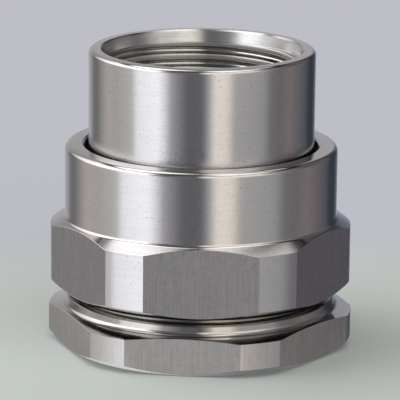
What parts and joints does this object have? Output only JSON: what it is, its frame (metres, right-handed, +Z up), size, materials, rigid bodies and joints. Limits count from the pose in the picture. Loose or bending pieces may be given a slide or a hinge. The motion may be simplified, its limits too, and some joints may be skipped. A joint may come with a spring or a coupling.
{
  "type": "explosion-proof conduit union",
  "caption": "Stainless conduit union for hazardous areas, female by female, with a captive hexagon nut over a smooth hub and a hexagon body.",
  "frame": {"origin": "centre of the lower body's underside, on the bore axis", "axes": "+Z up along the bore towards the upper socket, -Y out of one flat of the nut"},
  "size_m": [0.052, 0.0502, 0.0508],
  "materials": {
    "stainless_body": "turned and milled stainless steel",
    "stainless_nut": "turned and milled stainless steel",
    "stainless_hub": "fine turned stainless steel",
    "nitrile_seal": "moulded rubber"
  },
  "bodies": {
    "lower_body": {"lower_body": "stainless_body"},
    "carrier": {"seal_ring": "nitrile_seal"},
    "union_nut": {"union_nut": "stainless_nut"},
    "upper_hub": {"upper_hub": "stainless_hub"}
  },
  "joints": [
    {"name": "hub_lift", "type": "slide", "parent": "lower_body", "child": "carrier", "axis": [0, 0, 1], "range_m": [0, 0.00953]},
    {"name": "nut_turn", "type": "hinge", "parent": "carrier", "child": "union_nut", "pos_m": [0, 0, 0.0219], "axis": [0, 0, 1], "range_deg": [0, 2160]},
    {"name": "hub_swivel", "type": "hinge", "parent": "carrier", "child": "upper_hub", "pos_m": [0, 0, 0.04], "axis": [0, 0, 1], "continuous": true}
  ],
  "couplings": [
    {"joint": "hub_lift", "follows": "nut_turn", "m_per_rad": 0.00025266}
  ]
}
